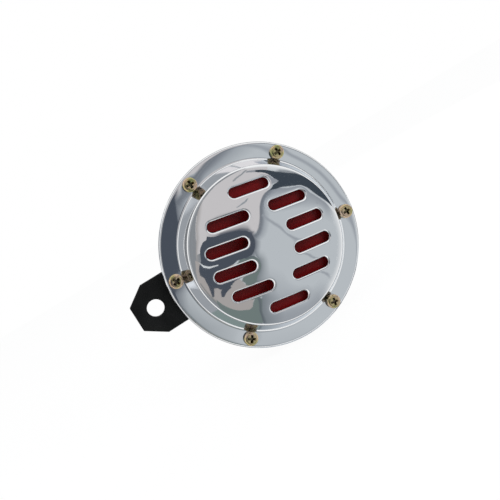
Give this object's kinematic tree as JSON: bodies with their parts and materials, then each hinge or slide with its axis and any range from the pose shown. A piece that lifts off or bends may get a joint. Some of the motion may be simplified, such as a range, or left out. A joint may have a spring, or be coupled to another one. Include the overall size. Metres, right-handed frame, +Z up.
{
  "type": "car horn",
  "caption": "Round disc horn with a slotted chrome cover over a red tone disc, an electromagnet with a contact breaker behind, and a cranked flat bracket with a bolt hole.",
  "frame": {"origin": "centre of the bracket's mounting hole, at the middle of the strip's thickness", "axes": "+X along the bracket from its hole to the horn's axis, -Y the way the horn faces, +Z up across the strip"},
  "size_m": [0.1198, 0.061, 0.1],
  "materials": {
    "chrome_plate": "bright plated steel",
    "yellow_zinc": "yellow passivated zinc",
    "fibre": "pressed fibre",
    "spring_steel": "blued spring steel",
    "red_paint": "dark red gloss",
    "bright_steel": "clear zinc",
    "black_paint": "satin black",
    "bobbin_plastic": "natural moulding",
    "copper_wire": "enamelled wire",
    "contact_silver": "bare contact metal",
    "terminal_brass": "bright",
    "terminal_resin": "dark moulded resin"
  },
  "bodies": {
    "horn": {"grille_cover": "chrome_plate", "cover_screws": "yellow_zinc", "cover_lock_washers": "yellow_zinc", "cover_nuts": "yellow_zinc", "front_gasket": "fibre", "diaphragm": "spring_steel", "rear_gasket": "fibre", "body_shell": "black_paint", "pole_core": "bright_steel", "coil_bobbin": "bobbin_plastic", "coil_winding": "copper_wire", "core_nut": "bright_steel", "bracket": "black_paint", "bracket_washer": "bright_steel", "bracket_lock_washer": "bright_steel", "bracket_nut": "bright_steel", "moving_blade": "spring_steel", "moving_contact": "contact_silver", "fixed_arm": "terminal_brass", "fixed_contact": "contact_silver", "breaker_pads": "fibre", "breaker_bracket": "bright_steel", "breaker_rivets": "bright_steel", "adjusting_screw": "bright_steel", "adjuster_nut": "bright_steel", "terminal_plate": "terminal_resin", "terminal_backing": "fibre", "terminals": "terminal_brass", "terminal_rivets": "terminal_brass"},
    "armature": {"armature": "bright_steel", "tone_disc": "red_paint", "disc_spacer": "bright_steel", "disc_lock_washer": "bright_steel", "disc_nut": "bright_steel"}
  },
  "joints": [
    {"name": "armature_slide", "type": "slide", "parent": "horn", "child": "armature", "axis": [0, 1, 0], "range_m": [-0.0003, 0.0006], "stiffness_N_per_m": 2000, "deforming": ["diaphragm", "moving_blade"]}
  ]
}
